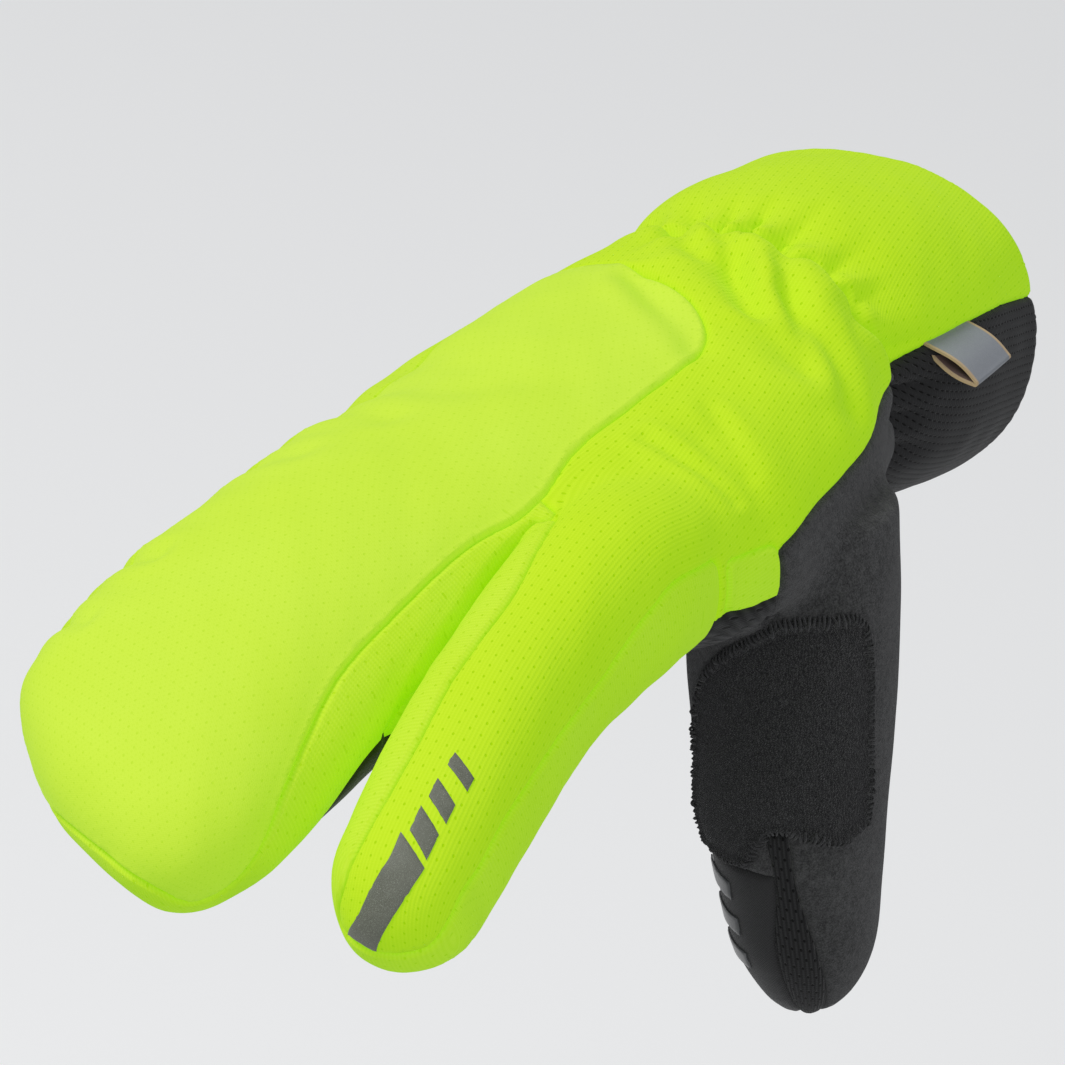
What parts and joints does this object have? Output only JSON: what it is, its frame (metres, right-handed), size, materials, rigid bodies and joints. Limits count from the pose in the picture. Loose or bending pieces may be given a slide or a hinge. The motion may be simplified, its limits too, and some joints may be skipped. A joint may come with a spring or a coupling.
{
  "type": "lobster claw mitt",
  "caption": "padded winter mitt for the right hand with a three-finger pouch, a separate index stall and a thumb, in the form it has when worn",
  "frame": {"origin": "the middle of the mouth of the cuff, where the hand goes in", "axes": "+X to the thumb side, -Y where the fingers point, +Z out of the back of the hand; the forearm leaves along the axis of the mount cuff_mouth"},
  "size_m": [0.1284, 0.3022, 0.1485],
  "materials": {
    "smooth_shell": "fluorescent yellow-green softshell with a fine dotted mesh face",
    "rib_knit": "fluorescent yellow-green fine rib knit with rows of small holes",
    "edge_knit": "fluorescent yellow-green fine crosswise knit",
    "palm_cloth": "black matt woven palm cloth",
    "black_knit": "black perforated rib knit",
    "black_fleece": "black brushed fleece",
    "wiping_patch": "black terry with overlocked edges",
    "grip": "dark grey glossy printed silicone",
    "reflective": "grey retroreflective transfer",
    "ribbon": "grey woven ribbon with a beige selvedge"
  },
  "bodies": {
    "root": {"back_panel": "smooth_shell", "knit_panel": "rib_knit", "pouch_gusset": "edge_knit", "index_gusset": "edge_knit", "web_gusset": "edge_knit", "palm_panel": "palm_cloth", "cuff_underside": "black_knit", "thumb_fleece": "black_fleece", "thumb_gusset": "black_knit", "thumb_pad": "palm_cloth", "web_knit": "black_knit", "thumb_patch": "wiping_patch", "label_loop": "ribbon", "thumb_grip_1": "grip", "thumb_grip_2": "grip", "thumb_grip_3": "grip", "reflective_bar_1": "reflective", "reflective_bar_2": "reflective", "reflective_bar_3": "reflective", "reflective_bar_4": "reflective"}
  },
  "joints": []
}
